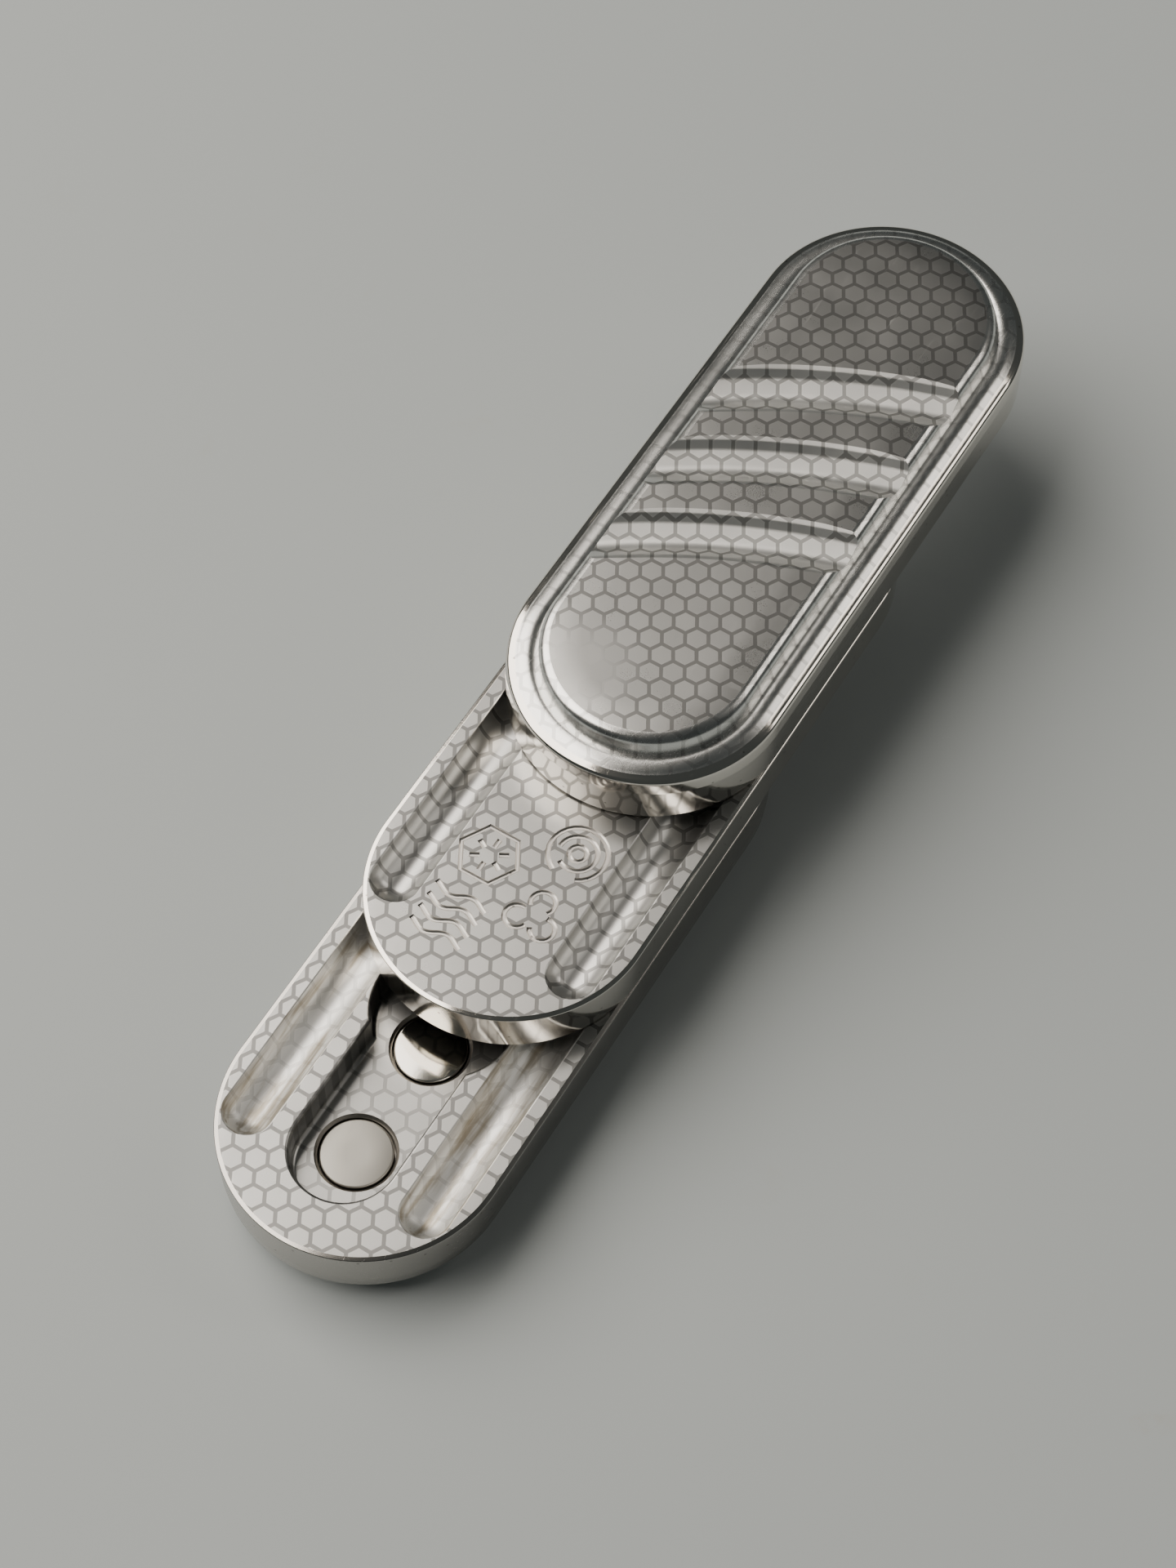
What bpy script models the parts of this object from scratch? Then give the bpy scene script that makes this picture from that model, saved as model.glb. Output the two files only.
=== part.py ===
"""A three-plate ball-track slider, fanned out.

Two outer plates and a middle plate, all obrounds of one size, lie on each other.
Each pair of facing sides has two long ball tracks, and four balls roll in them.
A row of disc magnets in each plate pulls the stack together and gives it its stops.

The frame is in metres with +Z up. The plates' long axis is Y. The stack stands on
the lower plate's pad, with the middle of its outer box over the origin.
"""

import math

import bmesh
import bpy
from mathutils import Matrix

MM = 0.001

# Plates, seen from above. The magnet row and END_LAND beyond its pocket give the length.
PLATE_WIDTH = 20.0 * MM
END_LAND = 3.75 * MM
EDGE_CHAMFER = 0.25 * MM
PLATE_GAP = 0.1 * MM

# Outer plate, from its sliding face to the top of its pad
WALL_HEIGHT = 3.95 * MM
RIM_ROUND = 0.6 * MM
SHELF_WIDTH = 1.4 * MM
SHELF_RISE = 0.1 * MM
FLANK_WIDTH = 0.8 * MM
FLANK_HEIGHT = 1.1 * MM
PAD_ROUND = 0.4 * MM

# Ball tracks and balls
BALL_RADIUS = 1.5 * MM
BALL_CLEARANCE = 0.05 * MM
TRACK_RELIEF = 0.25 * MM
TRACK_SIDE_LAND = 1.32 * MM
TRACK_TO_END = 4.77 * MM
MIDDLE_WEB = 0.65 * MM

# Magnets
MAGNET_COUNT = 5
MAGNET_PITCH = 9.0 * MM
MAGNET_RADIUS = 2.5 * MM
MAGNET_CLEARANCE = 0.12 * MM
OUTER_MAGNET_HEIGHT = 1.5 * MM
MIDDLE_MAGNET_HEIGHT = 2.5 * MM
MAGNET_RECESS = 0.1 * MM
GLUE_SPACE = 0.1 * MM

# Pocket in the sliding face of an outer plate
POCKET_DEPTH = 2.6 * MM
POCKET_MARGIN = 1.15 * MM
POCKET_BEYOND_MAGNET = 4.85 * MM
WIDE_POCKET_LAND = 0.17 * MM
WIDE_POCKET_TO_END = 14.45 * MM

# Slanted grip grooves across the pad, each a slice of a large ring
GRIP_COUNT = 3
GRIP_SPACING = 7.35 * MM
GRIP_SHIFT = 1.4 * MM
GRIP_BEND_RADIUS = 50.0 * MM
GRIP_SLANT = math.radians(25.5)
GRIP_WIDTH = 3.9 * MM
GRIP_DEPTH = 0.95 * MM

# Each plate is fanned out from the one below by this many magnet pitches
FAN_PITCHES = 2

# Fineness of the round shapes
END_STEPS = 20
TRACK_END_STEPS = 12
TRACK_SECTION_STEPS = 8
MAGNET_SIDES = 24
BALL_SEGMENTS = 16
BALL_RINGS = 8

magnet_hole_radius = MAGNET_RADIUS + MAGNET_CLEARANCE
magnet_row = [(i - (MAGNET_COUNT - 1) / 2) * MAGNET_PITCH for i in range(MAGNET_COUNT)]
pocket_half_length = magnet_row[-1] + POCKET_BEYOND_MAGNET

half_width = PLATE_WIDTH / 2
half_length = pocket_half_length + END_LAND
plate_straight = half_length - half_width
rim_height = WALL_HEIGHT + RIM_ROUND
pad_height = rim_height + SHELF_RISE + FLANK_HEIGHT + PAD_ROUND
fan_step = FAN_PITCHES * MAGNET_PITCH

# A track's round nose is a little larger than the ball, and its centre lies
# track_centre_z outside the face it is cut into.
track_radius = BALL_RADIUS + TRACK_RELIEF
track_depth = BALL_RADIUS + BALL_CLEARANCE - PLATE_GAP / 2
track_centre_z = track_radius - track_depth
track_half_width = math.sqrt(track_radius ** 2 - track_centre_z ** 2)
track_x = half_width - TRACK_SIDE_LAND - track_half_width
track_inner_x = track_x - track_half_width
track_straight = half_length - TRACK_TO_END - track_half_width
ball_y = track_straight - fan_step / 2
middle_height = 2 * track_depth + MIDDLE_WEB

pocket_radius = magnet_hole_radius + POCKET_MARGIN
pocket_straight = pocket_half_length - pocket_radius
wide_pocket_radius = track_inner_x - WIDE_POCKET_LAND
wide_pocket_straight = half_length - WIDE_POCKET_TO_END - wide_pocket_radius

lower_face_z = pad_height
middle_bottom_z = lower_face_z + PLATE_GAP
middle_top_z = middle_bottom_z + middle_height
upper_face_z = middle_top_z + PLATE_GAP

for old in list(bpy.data.objects):
    bpy.data.objects.remove(old, do_unlink=True)

model = bpy.data.collections.new("ball_track_slider")
cutters = bpy.data.collections.new("cutters")
bpy.context.scene.collection.children.link(model)
bpy.context.scene.collection.children.link(cutters)


def make_material(name, colour, metallic, roughness):
    material = bpy.data.materials.new(name)
    material.use_nodes = True
    shader = material.node_tree.nodes["Principled BSDF"]
    shader.inputs["Base Color"].default_value = (*colour, 1.0)
    shader.inputs["Metallic"].default_value = metallic
    shader.inputs["Roughness"].default_value = roughness
    return material


plate_steel = make_material("plate_steel", (0.55, 0.53, 0.50), 1.0, 0.32)
nickel = make_material("magnet_nickel", (0.66, 0.64, 0.58), 1.0, 0.2)
ball_steel = make_material("ball_steel", (0.62, 0.62, 0.63), 1.0, 0.08)


def place(obj, collection, material=None):
    for current in list(obj.users_collection):
        current.objects.unlink(obj)
    collection.objects.link(obj)
    if collection is cutters:
        obj.hide_render = True
        obj.display_type = "WIRE"
    if material:
        obj.data.materials.append(material)
    return obj


def obround(name, profile, straight, steps, collection, material=None):
    """A closed body with an obround plan. The profile lists (distance from the
    spine, height) from its upper end to its lower end. It is carried along one
    side, turned half a circle round one end of the spine, and mirrored."""
    bm = bmesh.new()
    points = [bm.verts.new((r, 0.0, z)) for r, z in profile]
    section = [bm.edges.new(pair) for pair in zip(points, points[1:])]

    def carry(edges, shift):
        grown = bmesh.ops.extrude_edge_only(bm, edges=edges)["geom"]
        moved = [g for g in grown if isinstance(g, bmesh.types.BMVert)]
        bmesh.ops.translate(bm, verts=moved, vec=(0.0, shift, 0.0))
        return [g for g in grown if isinstance(g, bmesh.types.BMEdge)]

    section = carry(section, straight)
    turned = bmesh.ops.spin(
        bm,
        geom=section,
        cent=(0.0, straight, 0.0),
        axis=(0.0, 0.0, 1.0),
        angle=math.pi,
        steps=steps,
    )["geom_last"]
    carry([g for g in turned if isinstance(g, bmesh.types.BMEdge)], -straight)
    half = bm.verts[:] + bm.edges[:] + bm.faces[:]
    bmesh.ops.mirror(bm, geom=half, matrix=Matrix.Identity(4), axis="Y", merge_dist=1e-7)
    bmesh.ops.remove_doubles(bm, verts=bm.verts[:], dist=1e-7)
    bmesh.ops.dissolve_degenerate(bm, dist=1e-8, edges=bm.edges[:])
    bmesh.ops.holes_fill(bm, edges=[e for e in bm.edges if e.is_boundary], sides=0)
    bmesh.ops.recalc_face_normals(bm, faces=bm.faces[:])
    mesh = bpy.data.meshes.new(name)
    bm.to_mesh(mesh)
    bm.free()
    return place(bpy.data.objects.new(name, mesh), collection, material)


def cylinder(name, radius, z_low, z_high, at, collection, material=None):
    bpy.ops.mesh.primitive_cylinder_add(
        vertices=MAGNET_SIDES,
        radius=radius,
        depth=z_high - z_low,
        location=(at[0], at[1], (z_low + z_high) / 2),
    )
    obj = bpy.context.object
    obj.name = name
    obj.data.name = name
    return place(obj, collection, material)


def cut(obj, cutter):
    modifier = obj.modifiers.new(cutter.name, "BOOLEAN")
    modifier.operation = "DIFFERENCE"
    modifier.solver = "EXACT"
    modifier.object = cutter


def finished_mesh(obj):
    """The mesh with its cuts made, flat areas left as single faces."""
    bpy.context.view_layer.update()
    seen = obj.evaluated_get(bpy.context.evaluated_depsgraph_get())
    mesh = bpy.data.meshes.new_from_object(seen)
    bm = bmesh.new()
    bm.from_mesh(mesh)
    bmesh.ops.remove_doubles(bm, verts=bm.verts[:], dist=1e-7)
    bmesh.ops.dissolve_limit(
        bm, angle_limit=math.radians(0.1), verts=bm.verts[:], edges=bm.edges[:]
    )
    bm.to_mesh(mesh)
    bm.free()
    mesh.shade_smooth()
    mesh.set_sharp_from_angle(angle=math.radians(30))
    return mesh


def arc(centre, radius, start, end, steps):
    """Points of a circular arc as (distance, height), angles in degrees."""
    angles = [math.radians(start + (end - start) * i / steps) for i in range(steps + 1)]
    return [(centre[0] + radius * math.cos(a), centre[1] + radius * math.sin(a)) for a in angles]


def track_cutter(name, x, face_z, into):
    """A ball-nosed slot that opens at face_z and goes down (-1) or up (+1)."""
    centre_z = -into * track_centre_z
    nose = arc((0.0, centre_z), track_radius, 0.0, 90.0 * into, TRACK_SECTION_STEPS)
    nose[-1] = (0.0, centre_z + into * track_radius)
    mouth = (track_radius, centre_z - into * track_radius)
    profile = [mouth] + nose
    if into > 0:
        profile.reverse()
    slot = obround(name, profile, track_straight, TRACK_END_STEPS, cutters)
    slot.location = (x, 0.0, face_z)
    return slot


# Outer plate: made once with its sliding face at z = 0 and its pad on top
pad_r = half_width - RIM_ROUND - SHELF_WIDTH - FLANK_WIDTH
rim_r = half_width - RIM_ROUND
pad_edge = arc((pad_r - PAD_ROUND, pad_height - PAD_ROUND), PAD_ROUND, 90.0, 0.0, 2)
flank_foot = (pad_r + FLANK_WIDTH, rim_height + SHELF_RISE)
rim_edge = arc((rim_r, WALL_HEIGHT), RIM_ROUND, 90.0, 0.0, 3)
sliding_edge = [(half_width, EDGE_CHAMFER), (half_width - EDGE_CHAMFER, 0.0)]
outer_profile = pad_edge + [flank_foot] + rim_edge + sliding_edge
top_plate = obround("top_plate", outer_profile, plate_straight, END_STEPS, model, plate_steel)

for side, x in (("left", -track_x), ("right", track_x)):
    cut(top_plate, track_cutter(f"outer_track_{side}", x, 0.0, 1))

narrow_profile = [(pocket_radius, POCKET_DEPTH), (pocket_radius, -POCKET_DEPTH)]
narrow_pocket = obround(
    "narrow_pocket", narrow_profile, pocket_straight, TRACK_END_STEPS, cutters
)
wide_profile = [(wide_pocket_radius, POCKET_DEPTH), (wide_pocket_radius, -POCKET_DEPTH)]
wide_pocket = obround(
    "wide_pocket", wide_profile, wide_pocket_straight, TRACK_END_STEPS, cutters
)
cut(top_plate, narrow_pocket)
cut(top_plate, wide_pocket)

outer_hole_floor = POCKET_DEPTH + MAGNET_RECESS + OUTER_MAGNET_HEIGHT + GLUE_SPACE
for number, y in enumerate(magnet_row, 1):
    hole = cylinder(
        f"outer_hole_{number}",
        magnet_hole_radius,
        POCKET_DEPTH / 2,
        outer_hole_floor,
        (0.0, y),
        cutters,
    )
    cut(top_plate, hole)

# A ring that sinks into the pad by GRIP_DEPTH cuts a groove GRIP_WIDTH wide
grip_radius = ((GRIP_WIDTH / 2) ** 2 + GRIP_DEPTH ** 2) / (2 * GRIP_DEPTH)
for number in range(GRIP_COUNT):
    y = GRIP_SHIFT + (number - (GRIP_COUNT - 1) / 2) * GRIP_SPACING
    ring_x = GRIP_BEND_RADIUS * math.sin(GRIP_SLANT)
    ring_y = y - GRIP_BEND_RADIUS * math.cos(GRIP_SLANT)
    bpy.ops.mesh.primitive_torus_add(
        major_radius=GRIP_BEND_RADIUS,
        minor_radius=grip_radius,
        major_segments=120,
        minor_segments=24,
        location=(ring_x, ring_y, pad_height - GRIP_DEPTH + grip_radius),
    )
    ring = bpy.context.object
    ring.name = f"grip_ring_{number + 1}"
    place(ring, cutters)
    cut(top_plate, ring)

outer_mesh = finished_mesh(top_plate)
outer_mesh.name = "outer_plate"
top_plate.modifiers.clear()
top_plate.data = outer_mesh
top_plate.location = (0.0, fan_step, upper_face_z)

# The lower outer plate is the same piece turned over about its long axis
base_plate = place(bpy.data.objects.new("base_plate", outer_mesh), model)
base_plate.rotation_euler = (0.0, math.pi, 0.0)
base_plate.location = (0.0, -fan_step, lower_face_z)

# Middle plate: tracks in both faces, magnets let in from below
middle_profile = [
    (half_width - EDGE_CHAMFER, middle_height),
    (half_width, middle_height - EDGE_CHAMFER),
    (half_width, EDGE_CHAMFER),
    (half_width - EDGE_CHAMFER, 0.0),
]
middle_plate = obround(
    "middle_plate", middle_profile, plate_straight, END_STEPS, model, plate_steel
)
for side, x in (("left", -track_x), ("right", track_x)):
    cut(middle_plate, track_cutter(f"middle_top_track_{side}", x, middle_height, -1))
    cut(middle_plate, track_cutter(f"middle_under_track_{side}", x, 0.0, 1))
middle_hole_top = MAGNET_RECESS + MIDDLE_MAGNET_HEIGHT + GLUE_SPACE
for number, y in enumerate(magnet_row, 1):
    hole = cylinder(
        f"middle_hole_{number}",
        magnet_hole_radius,
        -MAGNET_RECESS,
        middle_hole_top,
        (0.0, y),
        cutters,
    )
    cut(middle_plate, hole)
middle_mesh = finished_mesh(middle_plate)
middle_mesh.name = "middle_plate"
middle_plate.modifiers.clear()
middle_plate.data = middle_mesh
middle_plate.location = (0.0, 0.0, middle_bottom_z)

# Magnets: one row of discs in each plate
base_magnet_top = lower_face_z - POCKET_DEPTH - MAGNET_RECESS
middle_magnet_low = middle_bottom_z + MAGNET_RECESS
top_magnet_low = upper_face_z + POCKET_DEPTH + MAGNET_RECESS
rows = (
    ("base_magnet", -fan_step, base_magnet_top - OUTER_MAGNET_HEIGHT, base_magnet_top),
    ("middle_magnet", 0.0, middle_magnet_low, middle_magnet_low + MIDDLE_MAGNET_HEIGHT),
    ("top_magnet", fan_step, top_magnet_low, top_magnet_low + OUTER_MAGNET_HEIGHT),
)
for name, row_y, z_low, z_high in rows:
    for number, y in enumerate(magnet_row, 1):
        disc = cylinder(
            f"{name}_{number}", MAGNET_RADIUS, z_low, z_high, (0.0, row_y + y), model, nickel
        )
        disc.data.shade_smooth()
        disc.data.set_sharp_from_angle(angle=math.radians(30))

# Balls: two in each pair of facing tracks. A set rolls half as far as its upper
# plate slides, so fanned out it lies half a fan step along from its lower plate.
ball_sets = (
    ("lower_ball", -fan_step / 2, lower_face_z + PLATE_GAP / 2),
    ("upper_ball", fan_step / 2, middle_top_z + PLATE_GAP / 2),
)
for name, set_y, z in ball_sets:
    carrier = place(bpy.data.objects.new(f"{name}s", None), model)
    carrier.location = (0.0, set_y, z)
    spots = (
        ("near_left", -track_x, -ball_y),
        ("near_right", track_x, -ball_y),
        ("far_left", -track_x, ball_y),
        ("far_right", track_x, ball_y),
    )
    for spot, x, y in spots:
        bpy.ops.mesh.primitive_uv_sphere_add(
            segments=BALL_SEGMENTS, ring_count=BALL_RINGS, radius=BALL_RADIUS
        )
        ball = bpy.context.object
        ball.name = f"{name}_{spot}"
        place(ball, model, ball_steel)
        ball.data.shade_smooth()
        ball.parent = carrier
        ball.location = (x, y, 0.0)
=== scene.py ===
"""The looks of a three-plate ball-track slider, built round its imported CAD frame."""

import math

import bmesh
import bpy
from mathutils import Matrix, Vector


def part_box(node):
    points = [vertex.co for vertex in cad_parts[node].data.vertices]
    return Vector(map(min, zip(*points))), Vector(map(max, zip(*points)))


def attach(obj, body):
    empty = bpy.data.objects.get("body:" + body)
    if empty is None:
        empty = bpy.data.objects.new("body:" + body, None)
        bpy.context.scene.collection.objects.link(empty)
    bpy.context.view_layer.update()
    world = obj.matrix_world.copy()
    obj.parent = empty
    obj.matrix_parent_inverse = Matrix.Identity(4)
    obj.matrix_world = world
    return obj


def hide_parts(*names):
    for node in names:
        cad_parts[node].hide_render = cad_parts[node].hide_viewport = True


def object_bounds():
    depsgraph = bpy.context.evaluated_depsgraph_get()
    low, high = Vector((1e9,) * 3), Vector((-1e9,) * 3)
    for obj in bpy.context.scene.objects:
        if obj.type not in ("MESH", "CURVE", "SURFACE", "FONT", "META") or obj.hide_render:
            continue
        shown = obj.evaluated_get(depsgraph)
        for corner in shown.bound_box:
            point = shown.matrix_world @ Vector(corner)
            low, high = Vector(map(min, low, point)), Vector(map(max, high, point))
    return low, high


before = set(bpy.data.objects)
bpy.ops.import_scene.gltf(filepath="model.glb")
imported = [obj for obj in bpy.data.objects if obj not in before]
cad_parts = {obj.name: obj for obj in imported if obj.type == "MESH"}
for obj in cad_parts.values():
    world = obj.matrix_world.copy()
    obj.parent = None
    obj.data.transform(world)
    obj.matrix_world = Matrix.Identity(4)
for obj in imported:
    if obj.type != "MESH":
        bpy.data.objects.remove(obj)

cad_low, cad_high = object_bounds()

# Outer plates. The lower and the upper one are the same part, turned over: a solid bar of
# stainless steel, milled to an obround with a raised pad, a pocket and two ball tracks, then
# blasted, etched with a honeycomb on its faces, and polished round its side.
mm = 0.001

outer_low, outer_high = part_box("top_plate")
half_width = (outer_high.x - outer_low.x) / 2
half_length = (outer_high.y - outer_low.y) / 2
outer_height = outer_high.z - outer_low.z
plate_straight = half_length - half_width

end_steps = 88
slot_end_steps = 40
outline_steps = 8
round_steps = 72

crown_foot = half_width - 6.65 * mm
crown_edge = half_width - 4.85 * mm
crown_radius = 40.0 * mm
pad_crown = 0.05 * mm
pad_edge = half_width - 2.45 * mm
pad_rounding = 0.8 * mm
flank_foot = half_width - 2.02 * mm
foot_height = outer_height - 1.5 * mm
bead_shoulder = half_width - 1.38 * mm
bead_height = outer_height - 1.33 * mm
bead_rounding = 1.5 * mm
rim_edge = half_width - 0.68 * mm
rim_height = outer_height - 1.72 * mm
rim_shoulder = half_width - 0.09 * mm
shoulder_height = rim_height - 0.15 * mm
rim_rounding = 0.4 * mm
wall_top = outer_height - 3.1 * mm
wall_rounding = 0.8 * mm
edge_bevel = 0.3 * mm
edge_drop = 0.085 * mm
edge_round = 0.1 * mm
face_inset = half_width - 1.0 * mm

track_radius = 1.75 * mm
track_depth = 1.5 * mm
track_lip = 0.14 * mm
track_x = 6.948 * mm
track_straight = 20.098 * mm

pocket_depth = 2.6 * mm
pocket_wall = 3.72 * mm
pocket_straight = 19.08 * mm
wide_pocket_wall = 4.98 * mm
wide_pocket_straight = 7.1 * mm
pocket_corner = 0.35 * mm
pocket_lip = 0.25 * mm

hole_radius = 2.62 * mm
hole_chamfer = 0.22 * mm
hole_depth = 4.3 * mm
cutter_rise = 0.3 * mm
magnet_pitch = 9.0 * mm
magnet_row = [(i - 2) * magnet_pitch for i in range(5)]

grip_bend = 50.0 * mm
grip_slant = math.radians(25.5)
grip_spacing = 7.35 * mm
grip_shift = 1.4 * mm
grip_spread = math.radians(26)
grip_steps = 64
grip_corners = [  # across, depth, rounding; the far side of a groove is +
    (-3.0 * mm, -0.12 * mm, 0),
    (-2.0 * mm, 0.04 * mm, 1.6 * mm),
    (-0.7 * mm, 1.02 * mm, 1.5 * mm),
    (1.1 * mm, 0.58 * mm, 0.5 * mm),
    (1.6 * mm, 0.1 * mm, 0.3 * mm),
    (2.3 * mm, -0.11 * mm, 0),
]

steel_colour = (0.42, 0.42, 0.41)
light_cell, dark_cell = 1.16, 0.9
etch_colour = (0.2, 0.2, 0.195)
stain_colour = (0.30, 0.25, 0.17)
worn_reach = (1.5 * mm, 5.5 * mm)


def rounded(corners, steps=6):
    """An outline through (across, height, rounding) corners, with an arc at each rounding."""
    outline = [Vector(corners[0][:2])]
    for before, corner, after in zip(corners, corners[1:], corners[2:]):
        at = Vector(corner[:2])
        rounding = corner[2]
        if rounding == 0:
            outline.append(at)
            continue
        back = (Vector(before[:2]) - at).normalized()
        on = (Vector(after[:2]) - at).normalized()
        half_angle = back.angle(on) / 2
        reach = rounding / math.tan(half_angle)
        centre = at + (back + on).normalized() * rounding / math.sin(half_angle)
        first = at + back * reach - centre
        last = at + on * reach - centre
        start = math.atan2(first.y, first.x)
        sweep = (math.atan2(last.y, last.x) - start + math.pi) % (2 * math.pi) - math.pi
        for i in range(steps + 1):
            turn = start + sweep * i / steps
            outline.append(centre + Vector((math.cos(turn), math.sin(turn))) * rounding)
    outline.append(Vector(corners[-1][:2]))
    return outline


def lip_arc(centre_across, lip, end_slope, steps=8):
    """The rounded mouth of a cut as (across, depth), from outside the face down to its wall."""
    start_slope = math.radians(14)
    outside = 0.12 * mm  # how far the cutter stands out of the face
    slopes = [start_slope + (end_slope - start_slope) * i / steps for i in range(steps + 1)]
    points = [
        Vector((centre_across - lip * math.sin(s), lip - lip * math.cos(s))) for s in slopes
    ]
    run = (points[0].y + outside) / math.sin(start_slope)
    away = Vector((math.cos(start_slope), -math.sin(start_slope)))
    return [points[0] + away * run] + points


def ball_nose(radius, depth, lip, steps=14):
    """Half the section of a ball-nosed cut as (across, depth), its mouth rounded by lip."""
    centre = depth - radius
    meet = math.acos((lip - centre) / (radius + lip))
    lip_centre = math.sqrt((radius + lip) ** 2 - (lip - centre) ** 2)
    slopes = [meet * (1 - i / steps) for i in range(1, steps + 1)]
    nose = [Vector((radius * math.sin(s), centre + radius * math.cos(s))) for s in slopes]
    return lip_arc(lip_centre, lip, meet) + nose


def straight_wall(wall, depth, lip, corner):
    """Half the section of a flat-floored pocket as (across, depth), its mouth rounded by lip."""
    steps = 5
    quarter = math.radians(90)
    floor_arc = [
        Vector((wall - corner + corner * math.cos(a), depth - corner + corner * math.sin(a)))
        for a in (quarter * i / steps for i in range(steps + 1))
    ]
    return lip_arc(wall + lip, lip, quarter) + floor_arc


def new_piece(name, bm, *materials):
    """The finished bmesh as an object in the scene, with those materials."""
    mesh = bpy.data.meshes.new(name)
    bm.to_mesh(mesh)
    bm.free()
    for material in materials:
        mesh.materials.append(material)
    piece = bpy.data.objects.new(name, mesh)
    bpy.context.scene.collection.objects.link(piece)
    return piece


def close_up(bm):
    """Joins the seams, fills the open ends and turns every face outward."""
    bmesh.ops.remove_doubles(bm, verts=bm.verts[:], dist=1e-8)
    bmesh.ops.dissolve_degenerate(bm, dist=1e-9, edges=bm.edges[:])
    bmesh.ops.holes_fill(bm, edges=[e for e in bm.edges if e.is_boundary], sides=0)
    bmesh.ops.recalc_face_normals(bm, faces=bm.faces[:])


def section_edges(bm, outline):
    """The outline (across, height) as a chain of edges standing over +X."""
    points = [bm.verts.new((p[0], 0.0, p[1])) for p in outline]
    return [bm.edges.new(pair) for pair in zip(points, points[1:])]


def obround(name, outline, straight, steps, *materials):
    """A closed obround body. The outline, as (distance from the spine, height), is carried
    along one side, turned half round one end of the spine, and mirrored."""
    bm = bmesh.new()

    def carry(edges, shift):
        grown = bmesh.ops.extrude_edge_only(bm, edges=edges)["geom"]
        moved = [g for g in grown if isinstance(g, bmesh.types.BMVert)]
        bmesh.ops.translate(bm, verts=moved, vec=(0.0, shift, 0.0))
        return [g for g in grown if isinstance(g, bmesh.types.BMEdge)]

    side = carry(section_edges(bm, outline), straight)
    end = bmesh.ops.spin(
        bm,
        geom=side,
        cent=(0.0, straight, 0.0),
        axis=(0.0, 0.0, 1.0),
        angle=math.pi,
        steps=steps,
    )["geom_last"]
    carry([g for g in end if isinstance(g, bmesh.types.BMEdge)], -straight)
    half = bm.verts[:] + bm.edges[:] + bm.faces[:]
    bmesh.ops.mirror(bm, geom=half, matrix=Matrix.Identity(4), axis="Y", merge_dist=1e-8)
    close_up(bm)
    return new_piece(name, bm, *materials)


def turned(name, outline, steps, *materials):
    """A turned piece: the outline (radius, height) spun a full turn about Z."""
    bm = bmesh.new()
    bmesh.ops.spin(
        bm,
        geom=section_edges(bm, outline),
        cent=(0.0, 0.0, 0.0),
        axis=(0.0, 0.0, 1.0),
        angle=2 * math.pi,
        steps=steps,
    )
    close_up(bm)
    return new_piece(name, bm, *materials)


def slot_cutter(name, half_section, straight, face_height, into, material):
    """An obround cutter for a face at face_height, going up (+1) or down (-1) into the plate."""
    outline = [(p.x, into * p.y) for p in half_section]
    cutter = obround(name, outline, straight, slot_end_steps, material)
    cutter.location.z = face_height
    return cutter


def cut(piece, cutters):
    """Cuts each cutter out of the piece, and gives the cut faces the cutter's material."""
    bpy.context.view_layer.update()
    for cutter in cutters:
        modifier = piece.modifiers.new(cutter.name, "BOOLEAN")
        modifier.operation = "DIFFERENCE"
        modifier.solver = "EXACT"
        modifier.material_mode = "TRANSFER"
        modifier.object = cutter
    seen = piece.evaluated_get(bpy.context.evaluated_depsgraph_get())
    mesh = bpy.data.meshes.new_from_object(seen)
    piece.modifiers.clear()
    piece.data = mesh
    for cutter in cutters:
        bpy.data.objects.remove(cutter, do_unlink=True)


def smooth(piece, own_materials, sharp_angle=22):
    """Shades the piece smooth, with sharp edges kept and flat faces left flat. The materials
    after its own ones came with the cuts, and a cut's mouth stays a crisp edge too."""
    piece.data.shade_smooth()
    piece.data.set_sharp_from_angle(angle=math.radians(sharp_angle))
    bm = bmesh.new()
    bm.from_mesh(piece.data)
    for edge in bm.edges:
        used = {face.material_index for face in edge.link_faces}
        if len(used) > 1 and max(used) >= own_materials:
            edge.smooth = False
    bm.to_mesh(piece.data)
    bm.free()
    weighted = piece.modifiers.new("flat faces stay flat", "WEIGHTED_NORMAL")
    weighted.keep_sharp = True
    weighted.weight = 90


def add_node(tree, kind, *inputs, **settings):
    """A shader node with its settings, and its inputs linked or set in order."""
    made = tree.nodes.new(kind)
    for setting, value in settings.items():
        setattr(made, setting, value)
    for socket, value in zip(made.inputs, inputs):
        if isinstance(value, bpy.types.NodeSocket):
            tree.links.new(value, socket)
        elif value is not None:
            socket.default_value = value
    return made


def calculate(tree, operation, *inputs):
    """The result of one math node."""
    return add_node(tree, "ShaderNodeMath", *inputs, operation=operation).outputs[0]


def vector_of(tree, operation, *inputs):
    """The vector from one vector math node."""
    return add_node(tree, "ShaderNodeVectorMath", *inputs, operation=operation).outputs[0]


def fade(tree, value, at_zero, at_one):
    """0 where value is at_zero or beyond it, 1 at at_one, smooth between."""
    made = tree.nodes.new("ShaderNodeMapRange")
    made.interpolation_type = "SMOOTHSTEP"
    tree.links.new(value, made.inputs["Value"])
    made.inputs["From Min"].default_value = at_zero
    made.inputs["From Max"].default_value = at_one
    return made.outputs["Result"]


def blend_colour(tree, amount, first, second):
    """The first colour where amount is 0, the second where it is 1."""
    made = tree.nodes.new("ShaderNodeMix")
    made.data_type = "RGBA"
    for socket, value in ((0, amount), (6, first), (7, second)):
        if isinstance(value, bpy.types.NodeSocket):
            tree.links.new(value, made.inputs[socket])
        elif isinstance(value, (int, float)):
            made.inputs[socket].default_value = value
        else:
            made.inputs[socket].default_value = (*value, 1.0)
    return made.outputs[2]


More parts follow.
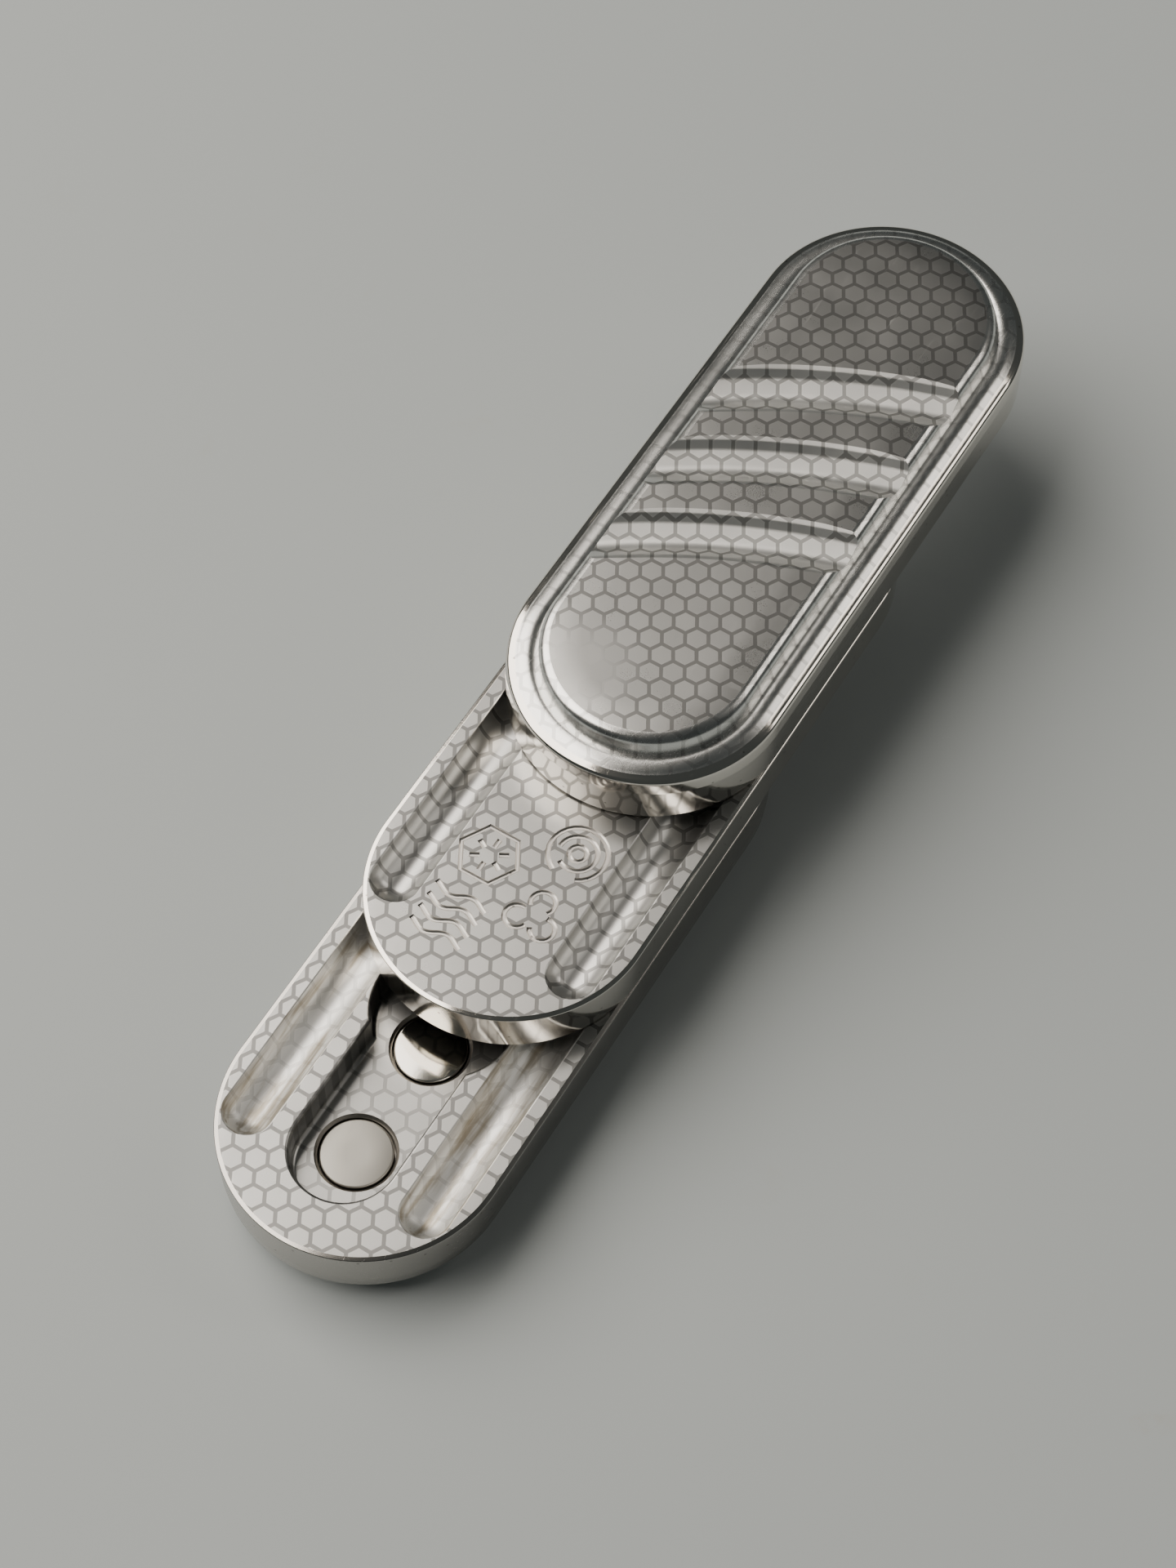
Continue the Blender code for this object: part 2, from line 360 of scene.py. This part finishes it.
def new_group(name, inputs, outputs):
    """An empty node group with those sockets, and its inner ends."""
    tree = bpy.data.node_groups.new(name, "ShaderNodeTree")
    for label, kind, value in inputs:
        socket = tree.interface.new_socket(label, in_out="INPUT", socket_type=kind)
        socket.default_value = value
    for label in outputs:
        tree.interface.new_socket(label, in_out="OUTPUT", socket_type="NodeSocketFloat")
    into = tree.nodes.new("NodeGroupInput").outputs
    out = tree.nodes.new("NodeGroupOutput").inputs
    return tree, into, out


def use_group(tree, group, **values):
    """Places a node group with its own values, and gives its outputs."""
    made = tree.nodes.new("ShaderNodeGroup")
    made.node_tree = group
    for label, value in values.items():
        made.inputs[label.replace("_", " ").capitalize()].default_value = value
    return made.outputs


def noise(tree, vector, scale, detail=2.0, roughness=0.5):
    """A noise value about 0.5. The scale is in lumps to the metre."""
    made = tree.nodes.new("ShaderNodeTexNoise")
    tree.links.new(vector, made.inputs["Vector"])
    made.inputs["Scale"].default_value = scale
    made.inputs["Detail"].default_value = detail
    made.inputs["Roughness"].default_value = roughness
    return made.outputs["Fac"]


def honeycomb_group():
    """Etched hexagons, flat sides facing the plate's ends: where the lines run, a lighter border
    just inside each cell, which is painted highlight on the cells' edges, and a value of its
    own for each cell."""
    pitch = 1.58 * mm
    cell = (math.sqrt(3) * pitch, pitch, 0.0)
    line_half = 0.112 * mm
    line_soft = 0.05 * mm
    border = 0.14 * mm
    wander_scale = 1200.0
    wander_reach = 0.05 * mm
    cell_scale = 900.0
    tree, into, out = new_group(
        "etched_honeycomb",
        [("Start", "NodeSocketVector", (0.0, 0.0, 0.0))],
        ["Line", "Edge highlight", "Cell"],
    )
    place = add_node(tree, "ShaderNodeTexCoord").outputs["Object"]
    wander = add_node(tree, "ShaderNodeTexNoise", place).outputs["Color"]
    wander.node.inputs["Scale"].default_value = wander_scale
    shake = vector_of(tree, "SUBTRACT", wander, (0.5,) * 3)
    shake = vector_of(tree, "MULTIPLY", shake, (wander_reach,) * 3)
    here = vector_of(tree, "ADD", vector_of(tree, "SUBTRACT", place, into["Start"]), shake)
    share = vector_of(tree, "DIVIDE", here, (cell[0], cell[1], 1.0))
    half = (0.5, 0.5, 0.5)
    from_centre = []
    for shift in (half, (0.0, 0.0, 0.0)):
        part = vector_of(tree, "FRACTION", vector_of(tree, "ADD", share, shift))
        from_centre.append(
            vector_of(tree, "MULTIPLY", vector_of(tree, "SUBTRACT", part, half), cell)
        )
    lengths = [
        add_node(tree, "ShaderNodeVectorMath", v, operation="LENGTH").outputs["Value"]
        for v in from_centre
    ]
    nearer = tree.nodes.new("ShaderNodeMix")
    nearer.data_type = "VECTOR"
    tree.links.new(calculate(tree, "LESS_THAN", *lengths), nearer.inputs[0])
    tree.links.new(from_centre[1], nearer.inputs[4])
    tree.links.new(from_centre[0], nearer.inputs[5])
    offset = nearer.outputs[1]
    across = add_node(
        tree, "ShaderNodeSeparateXYZ", vector_of(tree, "ABSOLUTE", offset)
    ).outputs
    slant = math.radians(30)
    rise = calculate(tree, "MULTIPLY", across["Y"], math.sin(slant))
    slanted = calculate(tree, "MULTIPLY_ADD", across["X"], math.cos(slant), rise)
    to_side = calculate(
        tree, "SUBTRACT", pitch / 2, calculate(tree, "MAXIMUM", across["Y"], slanted)
    )
    tree.links.new(fade(tree, to_side, line_half + line_soft, line_half), out["Line"])
    # The lighter border just inside each cell is painted highlight on the cells' edges.
    inside = fade(tree, to_side, line_half, line_half + line_soft)
    edge = calculate(
        tree, "MULTIPLY", inside, fade(tree, to_side, line_half + border, line_half + line_soft)
    )
    tree.links.new(edge, out["Edge highlight"])
    centre = vector_of(tree, "SUBTRACT", here, offset)
    tree.links.new(noise(tree, centre, cell_scale, 0.0), out["Cell"])
    return tree


def blasted_group():
    """Bead blasting: fine grain, and broad patches where the finish is a little duller."""
    tree, into, out = new_group(
        "bead_blasting",
        [("Grain size", "NodeSocketFloat", 0.12 * mm)],
        ["Grain", "Patches"],
    )
    place = add_node(tree, "ShaderNodeTexCoord").outputs["Object"]
    grain = tree.nodes.new("ShaderNodeTexNoise")
    tree.links.new(place, grain.inputs["Vector"])
    tree.links.new(calculate(tree, "DIVIDE", 1.0, into["Grain size"]), grain.inputs["Scale"])
    grain.inputs["Detail"].default_value = 3.0
    grain.inputs["Roughness"].default_value = 0.7
    tree.links.new(grain.outputs["Fac"], out["Grain"])
    tree.links.new(noise(tree, place, 220.0, 3.0), out["Patches"])
    return tree


def handling_group():
    """Marks of use: hair scratches along the slide, and small pits and specks."""
    tree, into, out = new_group("handling_marks", [], ["Scratches", "Specks", "Streaks"])
    place = add_node(tree, "ShaderNodeTexCoord").outputs["Object"]
    stretched = vector_of(tree, "MULTIPLY", place, (1.0, 0.03, 1.0))
    hair = noise(tree, stretched, 9000.0, 1.0)
    tree.links.new(fade(tree, hair, 0.66, 0.74), out["Scratches"])
    specks = tree.nodes.new("ShaderNodeTexVoronoi")
    tree.links.new(place, specks.inputs["Vector"])
    specks.inputs["Scale"].default_value = 900.0
    tree.links.new(fade(tree, specks.outputs["Distance"], 0.12, 0.05), out["Specks"])
    lengthwise = vector_of(tree, "MULTIPLY", place, (1.0, 0.12, 1.0))
    tree.links.new(noise(tree, lengthwise, 1100.0, 3.0, 0.6), out["Streaks"])
    return tree


honeycomb = honeycomb_group()
blasting = blasted_group()
handling = handling_group()


def new_shader(name, colour, roughness):
    """A metal material, its tree and its Principled BSDF."""
    material = bpy.data.materials.new(name)
    material.use_nodes = True
    tree = material.node_tree
    shader = tree.nodes["Principled BSDF"]
    shader.inputs["Base Color"].default_value = (*colour, 1.0)
    shader.inputs["Metallic"].default_value = 1.0
    shader.inputs["Roughness"].default_value = roughness
    return material, tree, shader


def etched_steel(
    name, start, etch=1.0, roughness=0.26, worn_spot=None, brown=0.0, shine=1.0
):
    """Blasted steel with the etched honeycomb. start is where a cell's centre lies, etch how
    strong the lines are, and they fade round worn_spot. brown stains the steel in streaks
    along the slide. shine above 1 brightens the colour, partly for a rubbed, brighter finish
    and partly as painted highlight on faces that catch the light."""
    material, tree, shader = new_shader(name, steel_colour, roughness)
    hexagons = use_group(tree, honeycomb, start=start)
    blast = use_group(tree, blasting, grain_size=0.11 * mm)
    marks = use_group(tree, handling)
    strength = calculate(tree, "MULTIPLY", fade(tree, blast["Patches"], 0.1, 0.34), etch)
    if worn_spot:
        place = add_node(tree, "ShaderNodeTexCoord").outputs["Object"]
        away = add_node(
            tree, "ShaderNodeVectorMath", place, worn_spot, operation="DISTANCE"
        ).outputs["Value"]
        strength = calculate(tree, "MULTIPLY", strength, fade(tree, away, *worn_reach))
    line = calculate(tree, "MULTIPLY", hexagons["Line"], strength)
    border = calculate(tree, "MULTIPLY", hexagons["Edge highlight"], strength)
    # shine above 1 brightens every colour here: partly a rubbed finish, partly painted highlight.
    light = tuple(light_cell * shine * c for c in steel_colour)
    dark = tuple(dark_cell * shine * c for c in steel_colour)
    colour = blend_colour(tree, hexagons["Cell"], dark, light)
    # Painted highlight: each cell's border is lightened towards the light cell tone.
    colour = blend_colour(tree, calculate(tree, "MULTIPLY", border, 0.45), colour, light)
    colour = blend_colour(tree, line, colour, tuple(shine * c for c in etch_colour))
    if brown:
        stain = calculate(tree, "MULTIPLY", fade(tree, marks["Streaks"], 0.46, 0.7), brown)
        colour = blend_colour(tree, stain, colour, stain_colour)
    tree.links.new(colour, shader.inputs["Base Color"])
    dull = calculate(tree, "MULTIPLY_ADD", blast["Patches"], 0.12, roughness - 0.06)
    dull = calculate(tree, "MULTIPLY_ADD", line, 0.03, dull)
    dull = calculate(tree, "MULTIPLY_ADD", blast["Grain"], 0.08, dull)
    dull = calculate(tree, "MULTIPLY_ADD", marks["Scratches"], 0.05, dull)
    tree.links.new(dull, shader.inputs["Roughness"])
    height = calculate(tree, "MULTIPLY_ADD", line, -0.5, blast["Grain"])
    bump = add_node(tree, "ShaderNodeBump")
    bump.inputs["Distance"].default_value = 0.004 * mm
    bump.inputs["Strength"].default_value = 0.4
    tree.links.new(height, bump.inputs["Height"])
    tree.links.new(bump.outputs["Normal"], shader.inputs["Normal"])
    return material


def polished_steel(name, colour=(0.84, 0.80, 0.74), roughness=0.1, wave=0.006 * mm):
    """Machine-polished steel: near a mirror, with slow waves, specks and hair scratches."""
    material, tree, shader = new_shader(name, colour, roughness)
    blast = use_group(tree, blasting, grain_size=0.3 * mm)
    marks = use_group(tree, handling)
    tint = blend_colour(tree, blast["Patches"], tuple(0.88 * c for c in colour), colour)
    tint = blend_colour(
        tree, calculate(tree, "MULTIPLY", marks["Specks"], 0.7), tint, (0.12, 0.11, 0.1)
    )
    tree.links.new(tint, shader.inputs["Base Color"])
    dull = calculate(tree, "MULTIPLY_ADD", blast["Patches"], 0.08, roughness - 0.04)
    dull = calculate(tree, "MULTIPLY_ADD", marks["Scratches"], 0.08, dull)
    tree.links.new(dull, shader.inputs["Roughness"])
    bump = add_node(tree, "ShaderNodeBump")
    bump.inputs["Distance"].default_value = wave
    bump.inputs["Strength"].default_value = 0.6
    height = calculate(tree, "MULTIPLY_ADD", blast["Grain"], 0.35, blast["Patches"])
    tree.links.new(height, bump.inputs["Height"])
    tree.links.new(bump.outputs["Normal"], shader.inputs["Normal"])
    return material


side_steel = polished_steel("polished_side")
# A darker, duller copy of the polished side for the lower plate: painted shade for the dark floor
# and contact shadow that its mirror side reflects.
shade_darkened_side_steel = polished_steel("painted_shade_side", (0.5, 0.48, 0.45), 0.2)
bore_steel = polished_steel("drilled_bore", (0.36, 0.34, 0.31), 0.3)

pad_outline = rounded(
    [
        (crown_foot, outer_height, 0),
        (crown_edge, outer_height, crown_radius),
        (pad_edge, outer_height - pad_crown, pad_rounding),
        (flank_foot, foot_height, 0),
        (bead_shoulder, bead_height, bead_rounding),
        (rim_edge, rim_height, 0),
        (rim_shoulder, shoulder_height, rim_rounding),
        (half_width, wall_top, wall_rounding),
        (half_width, edge_drop, edge_round),
        (half_width - edge_bevel, 0.0, edge_round),
        (face_inset, 0.0, 0),
    ],
    outline_steps,
)


def grip_cutter(number, material):
    """A curved bar with the groove's section, lying across the pad on a large circle. Its
    far wall is steep under a bright bevel, its floor slopes down towards the near wall."""
    section = [
        (grip_bend + p.x, outer_height - p.y) for p in rounded(grip_corners, outline_steps)
    ]
    bm = bmesh.new()
    edges = section_edges(bm, section)
    closing = [v for v in bm.verts if len(v.link_edges) == 1]
    edges.append(bm.edges.new(closing))
    bmesh.ops.spin(
        bm,
        geom=edges,
        cent=(0.0, 0.0, 0.0),
        axis=(0.0, 0.0, 1.0),
        angle=grip_spread,
        steps=grip_steps,
    )
    close_up(bm)
    bar = new_piece(f"grip_groove_{number}", bm, material)
    y = grip_shift + (number - 1) * grip_spacing
    bar.location.x = grip_bend * math.sin(grip_slant)
    bar.location.y = y - grip_bend * math.cos(grip_slant)
    bar.rotation_euler.z = math.radians(90) + grip_slant - grip_spread / 2
    return bar


def face_materials(piece, side_index, shelf_index=None):
    """Gives the upright side of a plate, with its chamfers and round, its own material, and the
    rounds round the pad another, brighter one, partly worn and partly painted highlight."""
    side_start = rim_edge + 0.02 * mm
    shelf_start = pad_edge - 0.6 * mm
    shelf_foot = rim_height - 0.1 * mm
    flat = 0.999
    for face in piece.data.polygons:
        x, y, height = face.center
        across = math.hypot(x, max(abs(y) - plate_straight, 0.0))
        if across > side_start and abs(face.normal.z) < flat:
            face.material_index = side_index
        elif shelf_index and across > shelf_start and height > shelf_foot:
            face.material_index = shelf_index


def outer_plate(name, start, worn_spot, side_material):
    """An outer plate with its sliding face at z = 0 and its pad up."""
    face_steel = etched_steel(f"{name}_face", start, worn_spot=worn_spot)
    # The track, grip and shelf steels are brightened by shine: partly a rubbed, brighter finish,
    # partly painted highlight where they catch the light.
    track_steel = etched_steel(
        f"{name}_track", start, etch=0.3, roughness=0.4, brown=0.8, shine=1.95
    )
    pocket_steel = etched_steel(f"{name}_pocket", start, etch=0.6, roughness=0.3)
    grip_steel = etched_steel(f"{name}_grip", start, roughness=0.32, shine=1.95)
    shelf_steel = etched_steel(f"{name}_shelf", start, etch=0.45, roughness=0.2, shine=1.75)
    own_materials = (face_steel, side_material, shelf_steel)
    plate = obround(name, pad_outline, plate_straight, end_steps, *own_materials)
    face_materials(plate, side_index=1, shelf_index=2)
    cutters = []
    for side in (-1, 1):
        section = ball_nose(track_radius, track_depth, track_lip)
        track = slot_cutter(f"track_{side}", section, track_straight, 0.0, 1, track_steel)
        track.location.x = side * track_x
        cutters.append(track)
    for label, wall, straight in (
        ("pocket", pocket_wall, pocket_straight),
        ("wide_pocket", wide_pocket_wall, wide_pocket_straight),
    ):
        section = straight_wall(wall, pocket_depth, pocket_lip, pocket_corner)
        cutters.append(slot_cutter(label, section, straight, 0.0, 1, pocket_steel))
    hole_outline = [
        (hole_radius + hole_chamfer + cutter_rise, pocket_depth - cutter_rise),
        (hole_radius, pocket_depth + hole_chamfer),
        (hole_radius, hole_depth),
    ]
    for number, y in enumerate(magnet_row, 1):
        hole = turned(f"magnet_hole_{number}", hole_outline, round_steps, bore_steel)
        hole.location.y = y
        cutters.append(hole)
    cutters += [grip_cutter(number, grip_steel) for number in range(3)]
    cut(plate, cutters)
    smooth(plate, len(own_materials))
    return plate


def standing_at(low, high, height):
    """The middle of a box seen from above, at that height."""
    return Vector(((low.x + high.x) / 2, (low.y + high.y) / 2, height))


upper_start = (1.01 * mm, 0.35 * mm, 0.0)
upper_worn_spot = (-3.4 * mm, -21.0 * mm, outer_height)
upper_plate = outer_plate("upper_outer_plate", upper_start, upper_worn_spot, side_steel)
upper_plate.location = standing_at(outer_low, outer_high, outer_low.z)
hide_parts("top_plate")
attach(upper_plate, "top")

base_low, base_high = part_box("base_plate")
lower_start = (-0.90 * mm, -0.57 * mm, 0.0)
# The lower plate's side takes the darker copy of the polished steel: painted shade.
lower_plate = outer_plate("lower_outer_plate", lower_start, None, shade_darkened_side_steel)
lower_plate.rotation_euler.y = math.pi
lower_plate.location = standing_at(base_low, base_high, base_high.z)
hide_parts("base_plate")
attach(lower_plate, "base")

# Magnets. Each plate holds a row of five neodymium discs, nickel plated to a bright finish
# and glued into drilled holes; their rims are rounded and the plating is lightly scuffed.
magnet_rim = 0.14 * mm


def plated_nickel(name, colour, roughness):
    """Bright nickel plating with a fine grain, dull patches and hair scratches."""
    material, tree, shader = new_shader(name, colour, roughness)
    blast = use_group(tree, blasting, grain_size=0.2 * mm)
    marks = use_group(tree, handling)
    tint = blend_colour(
        tree, blast["Patches"], tuple(0.88 * c for c in colour), tuple(1.1 * c for c in colour)
    )
    tree.links.new(tint, shader.inputs["Base Color"])
    dull = calculate(tree, "MULTIPLY_ADD", blast["Patches"], 0.1, roughness - 0.05)
    dull = calculate(tree, "MULTIPLY_ADD", marks["Scratches"], 0.08, dull)
    tree.links.new(dull, shader.inputs["Roughness"])
    bump = add_node(tree, "ShaderNodeBump")
    bump.inputs["Distance"].default_value = 0.002 * mm
    bump.inputs["Strength"].default_value = 0.6
    tree.links.new(blast["Grain"], bump.inputs["Height"])
    tree.links.new(bump.outputs["Normal"], shader.inputs["Normal"])
    return material


nickel = plated_nickel("magnet_plating", (0.66, 0.64, 0.58), 0.1)
scuffed_nickel = plated_nickel("scuffed_magnet_plating", (0.34, 0.33, 0.30), 0.34)
for body in ("base", "middle", "top"):
    for number in range(1, len(magnet_row) + 1):
        node_name = f"{body}_magnet_{number}"
        low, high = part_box(node_name)
        radius = (high.y - low.y) / 2
        height = high.z - low.z
        disc_outline = rounded(
            [
                (radius / 3, height, 0),
                (radius, height, magnet_rim),
                (radius, 0.0, magnet_rim),
                (radius / 3, 0.0, 0),
            ]
        )
        plating = scuffed_nickel if node_name == "base_magnet_1" else nickel
        disc = turned(f"{body}_magnet_disc_{number}", disc_outline, round_steps, plating)
        disc.location = standing_at(low, high, low.z)
        smooth(disc, own_materials=1, sharp_angle=30)
        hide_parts(node_name)
        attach(disc, body)

# Balls. Four hardened steel balls roll between each pair of plates; they are ground and
# lapped to a mirror, with a faint trace of grease and dust from the tracks.
def lapped_ball_steel(name):
    """Mirror-bright ball steel, duller where it has picked up specks of dust."""
    material, tree, shader = new_shader(name, (0.62, 0.62, 0.63), 0.06)
    blast = use_group(tree, blasting, grain_size=0.25 * mm)
    marks = use_group(tree, handling)
    tint = blend_colour(tree, blast["Patches"], (0.55, 0.55, 0.56), (0.68, 0.68, 0.69))
    tree.links.new(tint, shader.inputs["Base Color"])
    dull = calculate(tree, "MULTIPLY_ADD", blast["Patches"], 0.08, 0.03)
    dull = calculate(tree, "MULTIPLY_ADD", marks["Specks"], 0.2, dull)
    tree.links.new(dull, shader.inputs["Roughness"])
    return material


ball_subdivisions = 4
ball_steel = lapped_ball_steel("lapped_ball")
ball_spots = ("near_left", "near_right", "far_left", "far_right")
for ball_set in ("lower", "upper"):
    for spot in ball_spots:
        node_name = f"{ball_set}_ball_{spot}"
        low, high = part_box(node_name)
        radius = (high.z - low.z) / 2
        bm = bmesh.new()
        bmesh.ops.create_icosphere(bm, subdivisions=ball_subdivisions, radius=radius)
        ball = new_piece(f"{ball_set}_set_ball_{spot}", bm, ball_steel)
        ball.location = (low + high) / 2
        ball.data.shade_smooth()
        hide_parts(node_name)
        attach(ball, f"{ball_set}_balls")

# Middle plate. A flat steel plate between the two outer ones, with ball tracks in both faces
# and its magnets let in from below; its open end carries four small engraved ornaments.
middle_low, middle_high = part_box("middle_plate")
middle_height = middle_high.z - middle_low.z
middle_hole_depth = 2.7 * mm
middle_hole_chamfer = 0.1 * mm
middle_hole_rise = 0.15 * mm
stroke_radius = 0.2 * mm
stroke_depth = 0.16 * mm
ornament_size = 2.05 * mm
ornaments = {
    "hexagon_wheel": (-2.6 * mm, -15.3 * mm),
    "nested_rings": (2.45 * mm, -12.1 * mm),
    "ripples": (-2.5 * mm, -20.6 * mm),
    "three_crescents": (2.45 * mm, -17.7 * mm),
}


def stroke(points, closed):
    """One engraving stroke: a thin round bar along the points, its centre over the face."""
    line = bpy.data.curves.new("stroke", "CURVE")
    line.dimensions = "3D"
    line.bevel_depth = stroke_radius
    line.bevel_resolution = 3
    line.use_fill_caps = True
    spline = line.splines.new("POLY")
    spline.points.add(len(points) - 1)
    for target, (x, y) in zip(spline.points, points):
        target.co = (x, y, 0.0, 1.0)
    spline.use_cyclic_u = closed
    return line


def ring_points(radius, start, sweep, steps, centre=(0.0, 0.0)):
    """Points along an arc, its start and sweep in degrees."""
    return [
        (
            centre[0] + radius * math.cos(math.radians(start + sweep * i / steps)),
            centre[1] + radius * math.sin(math.radians(start + sweep * i / steps)),
        )
        for i in range(steps + 1)
    ]


def around(count, first, near, far):
    """Short spokes from near to far out, evenly round the centre."""
    angles = [math.radians(first + 360 * i / count) for i in range(count)]
    return [
        ([(near * math.cos(a), near * math.sin(a)), (far * math.cos(a), far * math.sin(a))], False)
        for a in angles
    ]


def ornament_strokes(kind):
    """The strokes of one ornament, each (points, closed), round its own centre."""
    size = ornament_size
    if kind == "nested_rings":
        open_rings = [(ring_points(size * s, 115 + 180 * s, 310, 24), False) for s in (1.0, 0.66)]
        return open_rings + [(ring_points(size * 0.3, 0, 360, 12)[:-1], True)]
    if kind == "hexagon_wheel":
        return [(ring_points(size * 1.08, 0, 360, 6)[:-1], True)] + around(
            6, 30, size * 0.32, size * 0.66
        )
    if kind == "three_crescents":
        centres = [math.radians(a) for a in (90, 210, 330)]
        return [
            (
                ring_points(
                    size * 0.42,
                    math.degrees(a) - 130,
                    260,
                    14,
                    (size * 0.56 * math.cos(a), size * 0.56 * math.sin(a)),
                ),
                False,
            )
            for a in centres
        ]
    along = [i / 10 for i in range(-10, 11)]
    return [
        ([(size * t, size * (row + 0.14 * math.sin(4.2 * t))) for t in along], False)
        for row in (-0.78, -0.26, 0.26, 0.78)
    ]


middle_start = (-0.06 * mm, 0.15 * mm, 0.0)
middle_face_steel = etched_steel("middle_face", middle_start)
# The middle tracks are brightened by shine: partly rubbed by the balls, partly painted highlight.
middle_track_steel = etched_steel(
    "middle_track", middle_start, etch=0.9, roughness=0.3, shine=1.5
)
engraved_steel = polished_steel("engraved_stroke", (0.62, 0.6, 0.57), 0.3)

middle_outline = rounded(
    [
        (face_inset, middle_height, 0),
        (half_width - edge_bevel, middle_height, edge_round),
        (half_width, middle_height - edge_drop, edge_round),
        (half_width, edge_drop, edge_round),
        (half_width - edge_bevel, 0.0, edge_round),
        (face_inset, 0.0, 0),
    ],
    outline_steps,
)
middle_plate = obround(
    "middle_sliding_plate",
    middle_outline,
    plate_straight,
    end_steps,
    middle_face_steel,
    side_steel,
)
face_materials(middle_plate, side_index=1)
middle_cutters = []
for side in (-1, 1):
    for face_height, into in ((middle_height, -1), (0.0, 1)):
        section = ball_nose(track_radius, track_depth, track_lip)
        track = slot_cutter(
            f"track_{side}_{into}", section, track_straight, face_height, into, middle_track_steel
        )
        track.location.x = side * track_x
        middle_cutters.append(track)
middle_hole_outline = [
    (hole_radius + middle_hole_chamfer + middle_hole_rise, -middle_hole_rise),
    (hole_radius, middle_hole_chamfer),
    (hole_radius, middle_hole_depth),
]
for number, y in enumerate(magnet_row, 1):
    hole = turned(f"middle_hole_{number}", middle_hole_outline, round_steps, bore_steel)
    hole.location.y = y
    middle_cutters.append(hole)
for kind, (x, y) in ornaments.items():
    for number, (points, closed) in enumerate(ornament_strokes(kind)):
        line = stroke([(px + x, py + y) for px, py in points], closed)
        bar = bpy.data.objects.new(f"stroke_{kind}_{number}", line)
        bpy.context.scene.collection.objects.link(bar)
        bpy.context.view_layer.update()
        mesh = bpy.data.meshes.new_from_object(
            bar.evaluated_get(bpy.context.evaluated_depsgraph_get())
        )
        bpy.data.objects.remove(bar, do_unlink=True)
        bm = bmesh.new()
        bm.from_mesh(mesh)
        close_up(bm)
        cutter = new_piece(f"stroke_cutter_{kind}_{number}", bm, engraved_steel)
        cutter.location.z = middle_height + stroke_radius - stroke_depth
        middle_cutters.append(cutter)
cut(middle_plate, middle_cutters)
smooth(middle_plate, own_materials=2)
middle_plate.location = standing_at(middle_low, middle_high, middle_low.z)
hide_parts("middle_plate")
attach(middle_plate, "middle")

# Studio. A pale matt table top with faint smudges, one large soft light on the left, a tall
# narrow one at the back right for the rims, and an otherwise dim room.
table_size = 3.0
bm = bmesh.new()
bmesh.ops.create_grid(bm, x_segments=4, y_segments=4, size=table_size / 2)
table, tree, shader = new_shader("pale_table", (0.40, 0.435, 0.44), 0.55)
shader.inputs["Metallic"].default_value = 0.0
place = add_node(tree, "ShaderNodeTexCoord").outputs["Object"]
clouds = noise(tree, place, 9.0, 4.0)
surface = blend_colour(tree, clouds, (0.385, 0.418, 0.424), (0.415, 0.452, 0.456))
smudges = fade(tree, noise(tree, place, 160.0, 5.0, 0.65), 0.6, 0.75)
rare = fade(tree, noise(tree, place, 24.0, 2.0), 0.5, 0.7)
stain = calculate(tree, "MULTIPLY", calculate(tree, "MULTIPLY", smudges, rare), 0.35)
tree.links.new(
    blend_colour(tree, stain, surface, (0.38, 0.37, 0.33)), shader.inputs["Base Color"]
)
floor = new_piece("table_top", bm, table)
floor.location.z = cad_low.z


warm_light = (1.0, 0.93, 0.85)


def softbox(name, bearing, elevation, distance, size, power, colour, lean=0.0):
    """A rectangular soft light facing the slider. The bearing is in degrees from +Y to +X,
    and the light leans in its own plane."""
    light = bpy.data.lights.new(name, "AREA")
    light.shape = "RECTANGLE"
    light.size, light.size_y = size
    light.energy = power
    light.color = colour
    lamp = bpy.data.objects.new(name, light)
    bpy.context.scene.collection.objects.link(lamp)
    flat = math.cos(math.radians(elevation))
    away = Vector(
        (
            flat * math.sin(math.radians(bearing)),
            flat * math.cos(math.radians(bearing)),
            math.sin(math.radians(elevation)),
        )
    )
    lamp.location = (cad_low + cad_high) / 2 + away * distance
    facing = away.to_track_quat("Z", "Y").to_matrix()
    lamp.rotation_euler = (facing @ Matrix.Rotation(math.radians(lean), 3, "Z")).to_euler()


softbox("left_window", 261, 50, 0.8, (0.96, 0.80), 11.9, warm_light)
softbox("back_right_strip", 45, 40, 0.8, (0.17, 0.46), 0.66, warm_light, -38)

world = bpy.data.worlds.new("dim_room")
world.use_nodes = True
bpy.context.scene.world = world
room = world.node_tree.nodes["Background"]
room.inputs["Color"].default_value = (0.9, 1.0, 0.98, 1.0)
room.inputs["Strength"].default_value = 0.055

# Camera. A long lens on a stand, looking steeply down on the slider from its near right, so
# that the sliding faces, the pad and the right-hand sides all show.
camera_place = Vector((0.06061, -0.10578, 0.20536))
camera_azimuth = math.radians(31.492)
camera_elevation = math.radians(59.371)
camera_roll = math.radians(0.14)
camera = bpy.data.cameras.new("camera")
camera.lens = 76.5
camera.sensor_width = 36.0
camera.clip_start = 0.01
camera.clip_end = 20.0
viewer = bpy.data.objects.new("camera", camera)
bpy.context.scene.collection.objects.link(viewer)
viewer.location = camera_place
back = Vector(
    (
        math.sin(camera_azimuth) * math.cos(camera_elevation),
        -math.cos(camera_azimuth) * math.cos(camera_elevation),
        math.sin(camera_elevation),
    )
)
turn = back.to_track_quat("Z", "Y").to_matrix() @ Matrix.Rotation(camera_roll, 3, "Z")
viewer.rotation_euler = turn.to_euler()
bpy.context.scene.camera = viewer
